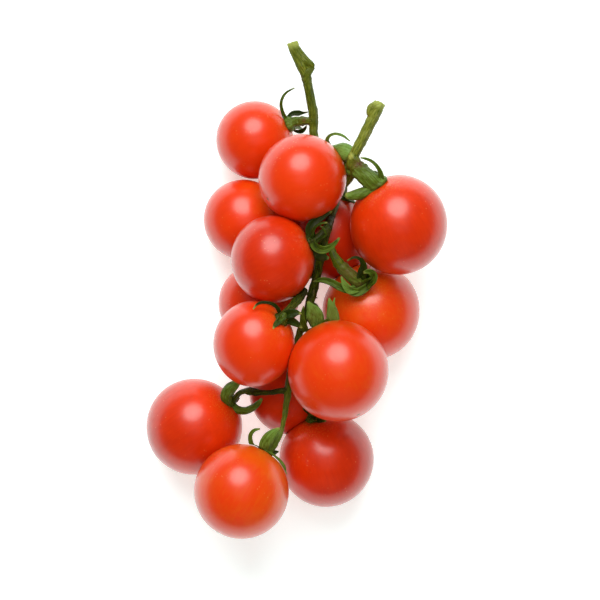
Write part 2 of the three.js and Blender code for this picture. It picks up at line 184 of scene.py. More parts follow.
# Sepals that stand free: how light its green is, how far its edges curl up (down if below 0), and points from the
# root to the tip with the half width there.
FREE_SEPALS = {
    "01": [
        (-0.15, 0.4, [
            (-2.4, 61.5, 19.5, 0.76), (-4.1, 64.3, 21, 0.61), (-5, 67.5, 22.4, 0.5), (-4.4, 70.1, 23.4, 0.43),
            (-2.8, 72, 24, 0.32), (-0, 73.5, 24.4, 0.13),
        ]),
        (-0.55, 0.3, [
            (-2.5, 63.6, 17.2, 0.54), (-0.6, 65, 17, 0.9), (1.6, 65.1, 17.2, 0.97), (3.1, 65.1, 17.6, 0.43),
            (5, 65.4, 18, 0.14),
        ]),
        (-0.5, 0.4, [
            (-1.3, 59.6, 17, 0.36), (0.5, 58.5, 16.6, 0.47), (2.4, 58.3, 16.8, 0.72), (3.7, 59.2, 17.4, 0.54),
            (4.4, 60.4, 18, 0.14),
        ]),
        (-0.05, -0.4, [
            (-1.7, 62.2, 20.2, 0.9), (0.9, 62.2, 22, 0.97), (3.5, 61.5, 23.2, 0.61), (4.6, 62.2, 23.6, 0.14),
        ]),
    ],
    "02": [
        (0.25, 0.4, [
            (12.3, 51.1, 36, 0.94), (11.7, 53.1, 37.6, 0.65), (12.7, 54.6, 39, 0.47), (14.8, 55.1, 40, 0.41),
            (17.3, 54.3, 40.6, 0.38), (19.8, 52.4, 40.8, 0.14),
        ]),
        (0.34, -0.75, [
            (11.7, 49.2, 37, 1.62), (13.8, 49, 40, 2.88), (16.4, 48.7, 42, 3.24), (19.2, 48.1, 43, 2.7),
            (21.5, 47.1, 43, 1.08),
        ]),
        (0.1, -0.6, [
            (16.4, 46.9, 35, 1.26), (18, 44.5, 38, 1.55), (19.5, 42.3, 40, 1.37), (20.9, 40.7, 41, 0.72),
        ]),
    ],
    "04": [
        (-0.26, 0.7, [
            (6.1, 17.4, 42.4, 0.83), (7.4, 14.7, 44.6, 1.3), (9.9, 13.4, 46.4, 1.33), (12.6, 14.2, 47.4, 0.97),
            (14.5, 16, 48, 0.61), (15.9, 17.7, 48.4, 0.22),
        ]),
        (-0.38, 0.5, [
            (6.1, 17.1, 42.6, 0.61), (6.4, 19.8, 44.8, 0.47), (7.6, 21.7, 46.2, 0.43), (9.7, 22.9, 47, 0.36),
            (11.6, 23, 47.6, 0.14),
        ]),
        (-0.6, 0.3, [
            (6.6, 17.8, 42.4, 1.08), (5.5, 20.3, 42.6, 1.62), (6.6, 23.1, 42.4, 1.44), (9.8, 25.3, 42, 1.08),
            (13.4, 27.4, 41.6, 0.29),
        ]),
        (-0.35, 0.4, [
            (7.3, 16.7, 42.4, 0.54), (9.4, 17.8, 43.2, 0.47), (11.2, 19.1, 44.2, 0.43),
            (10.1, 21.2, 45.2, 0.29),
            (9.1, 21.9, 45.8, 0.14),
        ]),
        (-0.6, -0.3, [
            (5.9, 16.8, 41.8, 1.26), (7.3, 13.5, 42.2, 1.98), (9.8, 11.3, 42, 1.8), (12.3, 10.6, 41.4, 0.36),
        ]),
    ],
    "05": [
        (0, 0.5, [
            (30.5, 37.2, 44.4, 1.08), (30.6, 39.9, 46.4, 0.79), (29.4, 42.4, 48, 0.61), (27.5, 44.3, 49, 0.47),
            (25.2, 45.3, 49.6, 0.36), (23.2, 45.7, 49.8, 0.13),
        ]),
        (0.05, -0.8, [
            (30.3, 36.2, 44, 1.8), (27.4, 34.6, 46, 2.09), (24.1, 33.5, 46.8, 1.98), (21, 32.8, 46.6, 1.69),
            (18, 32.7, 45.6, 0.9),
        ]),
        (0.1, -0.6, [
            (30.7, 36.9, 43.6, 1.44), (29.6, 34.8, 45.4, 1.62), (27.3, 33.4, 45.6, 1.44),
            (24.6, 32, 44.8, 0.36),
        ]),
    ],
    "07": [
        (-0.16, 0.6, [
            (21, -0.3, 36.4, 1.08), (18.7, -0.5, 38.2, 1.26), (15.9, 0.6, 38.8, 1.26), (13.1, 2.1, 38.4, 1.15),
            (9.9, 2.9, 37.4, 0.86), (6.7, 2.4, 36.2, 0.14),
        ]),
        (-0.55, 0.6, [
            (23.8, 3.3, 38, 1.44), (24.3, 6.1, 40.4, 1.62), (24.5, 8.4, 42, 1.08), (23.3, 10.3, 43, 0.54),
            (21.2, 10.9, 43.4, 0.36), (18.7, 9.7, 43.2, 0.14),
        ]),
        (-0.16, 1, [
            (25.7, 1.5, 37, 1.62), (27.5, 3, 38.6, 1.62), (27.8, 4.8, 40.4, 1.44), (26.4, 5.9, 41.6, 0.9),
            (24.5, 5.5, 41.8, 0.25),
        ]),
        (0.2, 0.5, [
            (22.4, -0.1, 37, 1.44), (20, -0.7, 38.6, 1.44), (18.1, 1.1, 39.8, 1.15), (16.6, 4.2, 40.4, 0.18),
        ]),
        (-0.7, 0.3, [
            (24.6, 1.5, 36.6, 1.62), (25.8, 3.8, 38.2, 1.62), (26.3, 6.1, 39, 0.54),
        ]),
        (-0.04, 0.6, [
            (27.5, 2, 36.4, 0.9), (25.1, -0.2, 37, 1.33), (22.1, -1.5, 37.4, 1.44), (19.2, -0.5, 37.8, 1.08),
            (17.4, 2.2, 38.4, 0.36),
        ]),
    ],
    "09": [
        (-0.8, 0.4, [
            (-5.2, -8.5, 49.2, 0.58), (-6.3, -6.6, 50.8, 0.61), (-8.6, -5.3, 51.6, 0.5),
            (-11.3, -5.1, 51.6, 0.43),
            (-13.1, -5.8, 51.6, 0.36), (-14.4, -7.5, 51.4, 0.13),
        ]),
        (-0.3, 0.3, [
            (-3.6, -9.9, 49.2, 1.19), (-5.2, -11.4, 50.4, 1.15), (-6.7, -13, 51.4, 0.79),
            (-7.9, -14.7, 51.8, 0.14),
        ]),
        (-0.55, 0.2, [
            (-3.3, -9.5, 48.6, 1.44), (-1.3, -9, 49.6, 1.62), (0.7, -8.7, 50, 1.08), (2.5, -9, 49.8, 0.18),
        ]),
        (-0.5, 0.2, [
            (-3.3, -10.6, 47.8, 1.26), (-1.2, -11.6, 47.4, 1.44), (0.9, -12.7, 46.8, 1.08),
            (2.7, -14.1, 46.2, 0.18),
        ]),
    ],
    "10": [
        (-0.2, 0.3, [
            (4.1, -15.3, 40.6, 1.08), (3.2, -12.8, 42.6, 1.08), (2.9, -9.6, 44.4, 0.79),
            (3.2, -6.4, 45.8, 0.14),
        ]),
        (0.24, -0.35, [
            (8, -13.9, 41, 2.16), (7.5, -11, 43.4, 3.06), (6.7, -8.5, 45, 2.52), (5.7, -6.5, 46, 1.33),
            (4.8, -4.7, 46.6, 0.22),
        ]),
        (0.4, -0.3, [
            (13.9, -13.1, 41.4, 2.34), (13.6, -9.9, 43.6, 2.16), (13.2, -7.1, 45.4, 1.55),
            (12.6, -5.2, 46.2, 0.83),
            (12.2, -3.5, 46.6, 0.14),
        ]),
        (0.4, -0.2, [
            (13.9, -8.8, 43.8, 1.08), (13.8, -6.7, 45.2, 0.83), (13.9, -5.2, 46, 0.43),
            (14.2, -3.4, 46.6, 0.11),
        ]),
        (-0.1, 0.3, [
            (9.8, -14.2, 40.6, 1.26), (11.6, -12.1, 42.4, 1.26), (12.8, -10.6, 43.4, 0.18),
        ]),
    ],
    "11": [
        (0.1, -0.6, [
            (-22.7, -43.1, 25, 1.44), (-24.1, -41.6, 28, 1.87), (-24.7, -39.1, 30.2, 2.16),
            (-23.5, -36.6, 31.8, 2.09),
            (-21.6, -35, 32.6, 1.55), (-19.7, -33.5, 33, 0.61),
        ]),
        (0, -0.7, [
            (-23.1, -42.6, 24, 1.26), (-21.1, -44.3, 25, 1.37), (-18.1, -44.7, 27, 1.26),
            (-15.3, -43.5, 28.8, 1.15),
            (-13.3, -41.9, 29.8, 0.9), (-11.8, -40, 30.4, 0.29),
        ]),
        (-0.1, 0.3, [
            (-23.7, -41.7, 23.4, 0.9), (-25.3, -43.2, 23, 0.9), (-26.5, -45.1, 22.4, 0.18),
        ]),
    ],
    "12": [
        (0, 0.5, [
            (-13.9, -58.3, 38, 0.83), (-15.4, -55.5, 39.6, 0.76), (-15.7, -52.6, 41, 0.65),
            (-14.5, -50.7, 41.8, 0.54),
            (-12.2, -50, 42.2, 0.18),
        ]),
        (0.2, -0.45, [
            (-10.2, -59.1, 37.4, 1.44), (-10.3, -56.4, 40, 2.34), (-9.2, -53.5, 41.6, 1.98),
            (-7.3, -51.3, 42.4, 1.26),
            (-5.3, -49.7, 42.8, 0.25),
        ]),
        (0.08, -0.4, [
            (-9.5, -59, 38, 1.08), (-7.4, -60.5, 39.4, 0.97), (-5.3, -62.3, 39.6, 0.94),
            (-3.9, -64.3, 39.4, 0.83),
            (-3.3, -66.8, 38.8, 0.29),
        ]),
        (-0.45, 0.3, [
            (-8.9, -59.4, 36, 0.9), (-7.5, -59.1, 36.2, 0.9), (-5.6, -58.7, 36, 0.18),
        ]),
    ],
    "13": [
        (-0.5, 0.3, [
            (5.3, -45.3, 24.6, 0.9), (3.5, -43.2, 25.6, 0.9), (2.1, -40.8, 26.2, 0.18),
        ]),
        (-0.5, 0.3, [
            (5.7, -45.6, 24.6, 0.9), (7.5, -47.2, 26, 1.26), (9.3, -48, 27, 1.08), (11.5, -48.4, 27.6, 0.18),
        ]),
    ],
}

# Sepals that lie along the skin: turn round the stem axis, length, width, and lift at the root and at the tip.
LAID_SEPALS = {
    "01": [(165, 10, 3.4, 3, 10)],
    "02": [(70, 9, 3.6, 3, 10), (170, 10, 3.4, 4, 10)],
    "03": [
        (-80, 12, 3.4, 5, 50), (-10, 9, 3.4, 2, 10), (60, 11, 3.4, 2, 10), (130, 12, 3.4, 4, 40),
        (200, 12, 3.4, 6, 60),
    ],
    "04": [(165, 10, 3.4, 3, 10)],
    "05": [(165, 7, 3.4, 2, 4), (-150, 7, 3.4, 2, 4)],
    "06": [
        (-100, 10, 3.4, 4, 16), (-30, 8, 3, 24, 50), (45, 10, 3.4, 2, 12), (110, 11, 3.4, 4, 16),
        (180, 11, 3.4, 6, 24),
    ],
    "07": [],
    "08": [
        (-90, 10, 3.4, 4, 16), (-20, 9, 3.4, 4, 16), (55, 10, 3.4, 4, 16), (120, 12, 3.4, 4, 30),
        (195, 12, 3.4, 4, 30),
    ],
    "09": [(165, 10, 3.4, 6, 20)],
    "10": [(125, 11, 3.4, 10, 50), (-140, 11, 3.4, 10, 50)],
    "11": [(165, 6, 3.4, 2, 4)],
    "12": [(165, 10, 3.4, 4, 10)],
    "13": [(10, 4.2, 3.4, 2, 0), (150, 11, 3.4, 6, 30), (205, 12, 3.4, 10, 30)],
    "14": [
        (-85, 10, 3.4, 2, 4), (-10, 9, 3.4, 2, 4), (60, 11, 3.4, 2, 4), (125, 11, 3.4, 2, 12),
        (200, 11, 3.4, 2, 12),
    ],
}

# Short stubs, each as points with radii: two make the knob on the main stalk, and the others are the bud and the flap
# on the side stalk.
STUBS = [
    [
        (0.9, 87.0, 26.9, 1.6), (2.7, 84.5, 27.0, 1.7), (4.5, 82.6, 27.0, 1.7), (6.2, 81.5, 27.2, 1.3),
        (7.3, 81.0, 27.3, 0.7),
    ],
    [(7.0, 80.8, 27.2, 0.8), (5.5, 79.4, 26.9, 1.3), (4.4, 77.6, 26.5, 1.5), (3.9, 75.8, 26.2, 1.5)],
    [(29.4, 65.0, 44.6, 1.3), (27.6, 64.0, 45.2, 1.5), (26.5, 62.3, 45.4, 1.2), (26.3, 61.0, 45.2, 0.6)],
    [(20.9, 46.4, 43.0, 1.7), (22.2, 44.8, 43.6, 1.4), (23.2, 43.8, 43.8, 0.9)],
]

# How light the green of each stalk, stub, arm and calyx is. The darker arm and calyx values, as on 09 and 11, are
# partly painted shade, for the shade they lie in among the fruit.
STALK_TONES, STUB_TONES = [0.04, 0.2], [0.08, 0.04, 0.32, 0.15]
TONES_AND_SHADE = {
    "01": 0.0, "02": 0.1, "03": -0.2, "04": -0.5, "05": 0.05, "06": -0.2, "07": -0.05, "08": -0.3, "09": -0.35,
    "10": -0.2, "11": -0.35, "12": 0.0, "13": -0.3, "14": -0.3,
}  # fmt: skip

# Painted shade on the main stalk: how much lighter it is at some places along Y. The dark middle stands for the shade
# it lies in among the fruit; the lighter cut end is its own colour.
SHADE_PLACES, SHADES = [-50, -20, 0, 20, 60, 90], [-0.05, -0.15, -0.3, -0.3, 0.0, 0.15]

# Dry brown marks on the green parts, with their sizes.
SCARS = [
    ((23.0, 43.4, 44.4), 1.7),
    ((24.4, 49.2, 44.8), 0.7),
    ((8.0, 80.2, 27.4), 0.6),
    ((-24.4, -35.3, 33.2), 0.6),
    ((3.6, 61.8, 23.0), 0.8),
]

CUT_SIZE = 2.2  # size of the pale mark at a cut end
PALE_FLAP = ((19.6, 46.8, 44.8), 1.0)
HOLLOW = 0.9  # depth of the hollow round the stem end of a fruit
SEAT_RADIUS = 3.0
SEPAL_THICKNESS = 0.34
STEM_GRID, CALYX_GRID = 0.27, 0.24  # cell sizes that the green pieces are remeshed on
STEM_HAIRS, CALYX_HAIRS = 3200, 260
HAIR_THICKNESS, HAIR_LENGTHS = 0.032, (0.25, 0.75)
ARM_POINTS, STUB_POINTS, MAIN_POINTS, SIDE_POINTS = 48, 12, 260, 90
LAID_STEPS = 12  # steps along a sepal that lies on the skin
SEPAL_GAP = 0.3  # room between a sepal and the skin
THIRDS = (0, 2.094, 4.189)  # the three corners of a hair's foot, in radians
FLOOR_SIZE, FLOOR_HEIGHT = 6.0, -0.0002
CAMERA_PLACE, CAMERA_LENS, CAMERA_SENSOR = (1.99, -4.24, 620), 97.5, 36.0
WORLD_STRENGTH = 0.05


def unit(v):
    v = np.asarray(v, float)
    return v / np.linalg.norm(v)


def fruit_place(number):
    """The middle and the radius of a fruit, from its solid in the frame, in millimetres."""
    low, high = (np.array(corner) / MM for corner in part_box(f"tomato_{number}"))
    return (low + high) / 2 + np.array(FRUIT[number][3]), float(np.max(high - low)) / 2


PLACES = {number: fruit_place(number) for number in FRUIT}


def clear_of_fruit(points, room, own=None, own_room=None):
    """The same points, moved out of every fruit to pass round it. room may differ from point to point."""
    points = np.array(points, float)
    room = np.broadcast_to(room, len(points))
    for _ in range(6):
        for number, (middle, radius) in PLACES.items():
            need = radius + (np.broadcast_to(own_room, len(points)) if number == own else room)
            away = points - middle
            far = np.linalg.norm(away, axis=1)
            near = far < need
            points[near] = middle + away[near] / far[near, None] * need[near, None]
    return points


def smooth_line(points, count):
    """count points along a smooth line through the given ones, evenly spaced. Extra columns are carried along."""
    p = np.asarray(points, float)
    p = np.vstack([2 * p[0] - p[1], p, 2 * p[-1] - p[-2]])
    fine = []
    for i in range(1, len(p) - 2):
        a, b, c, d = p[i - 1 : i + 3]
        for t in np.linspace(0, 1, 16, endpoint=i == len(p) - 3):
            square, cube = 2 * a - 5 * b + 4 * c - d, 3 * b - a - 3 * c + d
            fine.append(0.5 * (2 * b + (c - a) * t + square * t**2 + cube * t**3))
    fine = np.array(fine)
    walked = np.concatenate([[0], np.cumsum(np.linalg.norm(np.diff(fine[:, :3], axis=0), axis=1))])
    even = np.linspace(0, walked[-1], count)
    return np.stack([np.interp(even, walked, fine[:, k]) for k in range(fine.shape[1])], axis=1)


def seat_of(number):
    """The middle of the underside of the calyx, in the hollow of the fruit, and the stem axis."""
    middle, radius = PLACES[number]
    axis = unit(FRUIT[number][0])
    return middle + axis * (radius * FRUIT[number][1] - 0.5 * HOLLOW), axis


def arm_line(number):
    """An arm from its stalk to the seat, as points with radii, and the number of the point at the knuckle."""
    seat, axis = seat_of(number)
    share, way = ARMS[number]
    points = [list(p) for p in way] + [[*(seat + axis * 2.2), way[-1][3] + 0.2], [*seat, way[-1][3] + 0.5]]
    line = smooth_line(points, ARM_POINTS)
    near_own = np.linspace(1, 0, ARM_POINTS) ** 0.5 * 1.2
    line[:, :3] = clear_of_fruit(line[:, :3], line[:, 3] + 0.15, number, near_own)
    line = smooth_line(line[::4].tolist() + [line[-1].tolist()], ARM_POINTS)
    knuckle = int(share * (ARM_POINTS - 1))
    past = np.arange(ARM_POINTS) - knuckle
    line[:, 3] *= 1 + 0.18 * np.exp(-(((past + 2.4) / 2.0) ** 2)) + 0.16 * np.exp(-(((past - 2.4) / 2.2) ** 2))
    line[:, 3] *= 1 - 0.12 * np.exp(-((past / 0.8) ** 2))
    return line, knuckle


# ---- Materials -------------------------------------------------------------------------------------------


class Wire:
    """A value in a material, that ordinary arithmetic works on."""

    def __init__(self, look, socket):
        self.look, self.socket = look, socket

    def _sum(self, kind, *values):
        return self.look.node("Math", {"operation": kind}, dict(enumerate(values)))

    def __add__(self, other):
        return self._sum("ADD", self, other)

    def __mul__(self, other):
        return self._sum("MULTIPLY", self, other)

    def __sub__(self, other):
        return self._sum("SUBTRACT", self, other)

    def __rsub__(self, other):
        return self._sum("SUBTRACT", other, self)

    def __truediv__(self, other):
        return self._sum("DIVIDE", self, other)

    def __pow__(self, other):
        return self._sum("POWER", self, other)

    __radd__, __rmul__ = __add__, __mul__

    def ramp(self, start, end, low=0.0, high=1.0):
        """The value as it rises from start to end, taken smoothly to low..high and held there."""
        settings = {"interpolation_type": "SMOOTHSTEP"}
        inputs = {"Value": self, "From Min": start, "From Max": end, "To Min": low, "To Max": high}
        return self.look.node("MapRange", settings, inputs)


class Look:
    """One material. Constants are set on the surface shader, and node() adds what varies."""

    def __init__(self, name, **constants):
        self.material = bpy.data.materials.new(name)
        self.material.use_nodes = True
        self.tree = self.material.node_tree
        self.shader = self.tree.nodes["Principled BSDF"]
        self.set(self.shader, {key.replace("_", " "): value for key, value in constants.items()})

    def set(self, node, inputs):
        for key, value in inputs.items():
            if isinstance(value, Wire):
                self.tree.links.new(value.socket, node.inputs[key])
            else:
                node.inputs[key].default_value = value

    def node(self, kind, settings=None, inputs=None, output=0):
        node = self.tree.nodes.new("ShaderNode" + kind)
        for key, value in (settings or {}).items():
            setattr(node, key, value)
        self.set(node, inputs or {})
        return Wire(self, node.outputs[output])

    def here(self):
        return self.node("TexCoord", output="Object")

    def attribute(self, name, output="Fac"):
        return self.node("Attribute", {"attribute_name": name}, output=output)

    def clouds(self, where, scale, detail=3.0, roughness=0.5):
        inputs = {"Vector": where, "Scale": scale, "Detail": detail, "Roughness": roughness}
        return self.node("TexNoise", {}, inputs)

    def stretch(self, where, scale):
        return self.node("Mapping", {"vector_type": "POINT"}, {"Vector": where, "Scale": scale})

    def spots(self, where, scale, start, end):
        """1 at scattered spots, falling to 0 between them."""
        return self.node("TexVoronoi", {}, {"Vector": where, "Scale": scale}).ramp(start, end, 1.0, 0.0)

    def blend(self, factor, first, second):
        """The colour first where factor is 0 and second where it is 1."""
        first, second = ((*c, 1.0) if isinstance(c, tuple) else c for c in (first, second))
        return self.node("Mix", {"data_type": "RGBA"}, {0: factor, 6: first, 7: second}, output=2)

    def bump(self, height, distance, strength=1.0):
        return self.node("Bump", {}, {"Height": height, "Distance": distance, "Strength": strength})

    def finish(self, colour, roughness, normal):
        self.set(self.shader, {"Base Color": colour, "Roughness": roughness, "Normal": normal})
        return self.material


def skin_look():
    look = Look(
        "tomato_skin",
        Subsurface_Weight=0.12,
        Subsurface_Radius=(1.0, 0.16, 0.06),
        Subsurface_Scale=0.0025,
        Specular_IOR_Level=0.16,
        Coat_Weight=1.0,
        Coat_Roughness=0.27,
        Coat_IOR=1.5,
        IOR=1.45,
    )
    here, pole = look.here(), look.attribute("pole", "Vector")
    ripe_and_shade, height = look.attribute("ripe_and_shade"), look.attribute("height")
    patches = look.clouds(here, 62.0, 3.0, 0.55)
    veins = look.clouds(look.stretch(pole, (9.0, 9.0, 0.9)), 1.6, 3.0, 0.6)
    # The ripeness value deepens the red; values past 1 are painted shade on a fruit that lies in shade.
    blush = ripe_and_shade + (patches - 0.5) * 0.6 + (veins - 0.5) * 0.3 - height.ramp(0.2, 1.0) * 0.2
    colour = look.blend(blush.ramp(-0.1, 0.45), (0.78, 0.125, 0.002), (0.8, 0.042, 0.0008))
    colour = look.blend(blush.ramp(0.4, 1.1), colour, (0.54, 0.019, 0.0004))
    colour = look.blend(height.ramp(0.955, 0.995) * 0.55, colour, (0.36, 0.09, 0.01))
    streaks = look.clouds(look.stretch(pole, (15.0, 15.0, 0.4)), 2.0, 2.0, 0.5)
    colour = look.blend(height.ramp(0.72, 0.97) * streaks.ramp(0.48, 0.7) * 0.4, colour, (0.8, 0.24, 0.03))
    specks = look.spots(here, 620.0, 0.1, 0.2) * look.clouds(here, 90.0).ramp(0.5, 0.64)
    colour = look.blend(specks * 0.2, colour, (0.86, 0.42, 0.16))
    scar = height.ramp(-0.9982, -0.9994, 0.0, 1.0)
    colour = look.blend(scar, colour, (0.2, 0.08, 0.02))
    dust = look.clouds(here, 240.0, 4.0, 0.65)
    roughness = 0.4 + (dust - 0.5) * 0.12 + (patches - 0.5) * 0.08 + scar * 0.3
    normal = look.bump(dust * 0.6 + veins * 1.6 + specks * 0.5, 0.00006, 0.6)
    return look.finish(colour, roughness, normal)


def plant_look(name, dark, mid, light, worn, **constants):
    """Green skin of a stalk or a leaf: lengthwise streaks, light ridges, brown marks, pale cut ends and tips."""
    look = Look(
        name,
        Subsurface_Weight=0.08,
        Subsurface_Radius=(0.5, 1.0, 0.2),
        Subsurface_Scale=0.0012,
        Specular_IOR_Level=0.2,
        **constants,
    )
    here, grain = look.here(), look.attribute("grain", "Vector")
    wide = look.clouds(here, 130.0, 3.0, 0.6)
    streaks = look.clouds(grain, 5.5, 4.0, 0.62)
    tone = (wide - 0.5) * 0.8 + (streaks - 0.5) * 1.7 + look.attribute("tone") + 0.5
    colour = look.blend(tone.ramp(0.05, 0.55), dark, mid)
    colour = look.blend(tone.ramp(0.5, 1.0), colour, light)
    tan = look.clouds(grain, 2.6, 5.0, 0.7).ramp(0.6, 0.74) * look.clouds(here, 80.0).ramp(0.45, 0.62)
    colour = look.blend(tan * worn, colour, (0.3, 0.22, 0.08))
    marks = look.spots(here, 210.0, 0.12, 0.3) * look.clouds(here, 160.0, 2.0).ramp(0.56, 0.66)
    colour = look.blend(marks * (worn + 0.1), colour, (0.07, 0.045, 0.012))
    colour = look.blend(look.attribute("pale"), colour, (0.42, 0.48, 0.1))
    dried = look.attribute("brown") * look.clouds(here, 520.0, 4.0, 0.7).ramp(0.3, 0.6)
    colour = look.blend(dried, colour, (0.1, 0.036, 0.012))
    fuzz = look.clouds(here, 900.0, 3.0, 0.7)
    normal = look.bump(streaks * 1.2 + fuzz * 0.5 - marks * 0.4, 0.00022, 0.8)
    return look.finish(colour, 0.5 + (fuzz - 0.5) * 0.3 - streaks * 0.1, normal)


SKIN = skin_look()
STALK = plant_look(
    "stalk_green", (0.016, 0.022, 0.001), (0.08, 0.106, 0.004), (0.23, 0.25, 0.028), 0.5, Coat_Weight=0.05
)
LEAF = plant_look(
    "leaf_green", (0.016, 0.028, 0.001), (0.08, 0.128, 0.008), (0.16, 0.28, 0.045), 0.2, Coat_Weight=0.06
)


# ---- Modelling helpers -----------------------------------------------------------------------------------


def pick(obj):
    """obj is the only one selected, and the active one."""
    bpy.ops.object.select_all(action="DESELECT")
    obj.select_set(True)
    bpy.context.view_layer.objects.active = obj
    return obj


def copy_of(obj, name):
    made = obj.copy()
    made.data = obj.data.copy()
    made.name = made.data.name = name
    bpy.context.scene.collection.objects.link(made)
    return made


def corners(obj):
    spots = np.empty(len(obj.data.vertices) * 3)
    obj.data.vertices.foreach_get("co", spots)
    return spots.reshape(-1, 3)


def place_corners(obj, spots):
    obj.data.vertices.foreach_set("co", np.ascontiguousarray(spots, float).ravel())
    obj.data.update()


def normals_of(obj):
    out = np.empty(len(obj.data.vertices) * 3)
    obj.data.vertex_normals.foreach_get("vector", out)
    return out.reshape(-1, 3)


def note(obj, name, values):
    """Stores a value or a vector with every corner of obj, for its material."""
    values = np.ascontiguousarray(values, np.float32)
    vector = values.ndim == 2
    store = obj.data.attributes.new(name, "FLOAT_VECTOR" if vector else "FLOAT", "POINT")
    store.data.foreach_set("vector" if vector else "value", values.ravel())


def spread(spots, places):
    """At each spot, how strongly the nearest mark shows: 1 in its middle, fading outside its size."""
    found = np.zeros(len(spots))
    for place, size in places:
        away = np.linalg.norm(spots - np.array(place), axis=1)
        found = np.maximum(found, np.clip(1.7 - away / size, 0, 1))
    return found


def modify(obj, kind, **settings):
    pick(obj)
    modifier = obj.modifiers.new(kind.lower(), kind)
    for key, value in settings.items():
        setattr(modifier, key, value)
    bpy.ops.object.modifier_apply(modifier=modifier.name)


def round_normals(obj):
    pick(obj)
    bpy.ops.object.mode_set(mode="EDIT")
    bpy.ops.mesh.select_all(action="SELECT")
    bpy.ops.mesh.remove_doubles(threshold=0.0000005)
    bpy.ops.mesh.normals_make_consistent(inside=False)
    bpy.ops.object.mode_set(mode="OBJECT")
    bpy.ops.object.shade_smooth()


def join(objects, name):
    pick(objects[0])
    for obj in objects:
        obj.select_set(True)
    if len(objects) > 1:
        bpy.ops.object.join()
    obj = bpy.context.object
    obj.name = obj.data.name = name
    return obj


def rod(line):
    """A round rod along a line of points with radii, with flat closed ends."""
    line = np.asarray(line, float)
    curve = bpy.data.curves.new("rod", "CURVE")
    curve.dimensions = "3D"
    curve.bevel_depth = MM
    curve.bevel_resolution = 4
    curve.use_fill_caps = True
    spline = curve.splines.new("POLY")
    spline.points.add(len(line) - 1)
    spline.points.foreach_set("co", np.column_stack([line[:, :3] * MM, np.ones(len(line))]).ravel())
    spline.points.foreach_set("radius", line[:, 3])
    obj = bpy.data.objects.new("rod", curve)
    bpy.context.scene.collection.objects.link(obj)
    pick(obj)
    bpy.ops.object.convert(target="MESH")
    return bpy.context.object


def blob(middle, halves, turn):
    """A ball drawn out to three half sizes and turned, round a middle."""
    bpy.ops.object.select_all(action="DESELECT")
    bpy.ops.mesh.primitive_ico_sphere_add(subdivisions=3, radius=MM, location=(0, 0, 0))
    obj = bpy.context.object
    place_corners(obj, corners(obj) * np.array(halves) @ turn.T + np.array(middle) * MM)
    return obj


def grain_along(obj, lines):
    """Notes, at each corner, how far along the nearest line it is and where round it: streaks follow the growth.
    Gives back the radius there, the angle round the line, the way along it and the line's number."""
    tree = KDTree(sum(len(line) for line in lines))
    samples, walked = [], 0.0
    for index, line in enumerate(lines):
        tangent = np.gradient(line[:, :3], axis=0)
        tangent /= np.maximum(np.linalg.norm(tangent, axis=1, keepdims=True), 1e-9)
        steps = np.concatenate([[0], np.cumsum(np.linalg.norm(np.diff(line[:, :3], axis=0), axis=1))])
        first = unit(np.cross(tangent[0], (0.31, 0.2, 0.93)))
        for point, way, step in zip(line, tangent, steps):
            first = unit(first - way * np.dot(first, way))
            tree.insert(Vector(point[:3]), len(samples))
            samples.append((point, way, first, walked + step, index))
        walked += steps[-1] + 7.0
    tree.balance()
    grain, facts = [], []
    for spot in corners(obj) / MM:
        point, way, first, along, index = samples[tree.find(Vector(spot))[1]]
        away = spot - point[:3]
        along += np.dot(away, way)
        side = away - way * np.dot(away, way)
        angle = math.atan2(np.dot(side, np.cross(way, first)), np.dot(side, first))
        grain.append((math.cos(angle) * 0.9, math.sin(angle) * 0.9, along * 0.06))
        facts.append((point[3], angle, along, index))
    note(obj, "grain", grain)
    return np.array(facts)


def hairs(obj, count, seed):
    """Fine hairs that stand out of obj at scattered corners, each a thin closed spike."""
    dice = np.random.default_rng(seed)
    chosen = dice.choice(len(obj.data.vertices), count, replace=False)
    root, out = corners(obj)[chosen] / MM, normals_of(obj)[chosen]
    way = out + dice.normal(0, 0.35, (count, 3))
    way /= np.linalg.norm(way, axis=1, keepdims=True)
    side = np.cross(way, dice.normal(0, 1, (count, 3)))
    side /= np.linalg.norm(side, axis=1, keepdims=True)
    other = np.cross(way, side)
    length = dice.uniform(*HAIR_LENGTHS, (count, 1))
    foot = root - way * 0.1
    ring = [foot + (side * math.cos(turn) + other * math.sin(turn)) * HAIR_THICKNESS for turn in THIRDS]
    spots = np.stack([*ring, root + way * length], axis=1).reshape(-1, 3) * MM
    first = np.arange(count)[:, None, None] * 4
    faces = (first + np.array([[0, 1, 3], [1, 2, 3], [2, 0, 3], [2, 1, 0]])).reshape(-1, 3)
    mesh = bpy.data.meshes.new("hairs")
    mesh.from_pydata(spots.tolist(), [], faces.tolist())
    made = bpy.data.objects.new("hairs", mesh)
    bpy.context.scene.collection.objects.link(made)
    note(made, "tone", np.full(count * 4, 0.75))
    note(made, "along", np.zeros(count * 4))
    return made


def finish_piece(obj, material, node):
    obj.data.materials.clear()
    obj.data.materials.append(material)
    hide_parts(node)
    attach(obj, "root")


# ---- Fruit -----------------------------------------------------------------------------------------------

bpy.ops.object.select_all(action="DESELECT")
bpy.ops.mesh.primitive_cube_add(size=2.0, location=(0, 0, 0))
pattern = bpy.context.object
pattern.name = "fruit_pattern"
modify(pattern, "SUBSURF", levels=5, render_levels=5)
modify(pattern, "CAST", cast_type="SPHERE", factor=1.0, radius=1.0, use_radius_as_size=False, size=1.0)
ball = corners(pattern)
ball /= np.linalg.norm(ball, axis=1, keepdims=True)
pick(pattern)
bpy.ops.object.shade_smooth()


def pressed(spots, number):
    """The corners of a fruit, dented where a fruit above it presses in."""
    for other, (middle, radius) in PLACES.items():
        if other == number or middle[2] <= PLACES[number][0][2]:
            continue
        half = radius * np.array([1, FRUIT[other][4], 1]) + 0.06
        away = (spots - middle) / half
        far = np.linalg.norm(away, axis=1)
        inside = far < 1
        spots[inside] = middle + away[inside] / far[inside, None] * half
    return spots


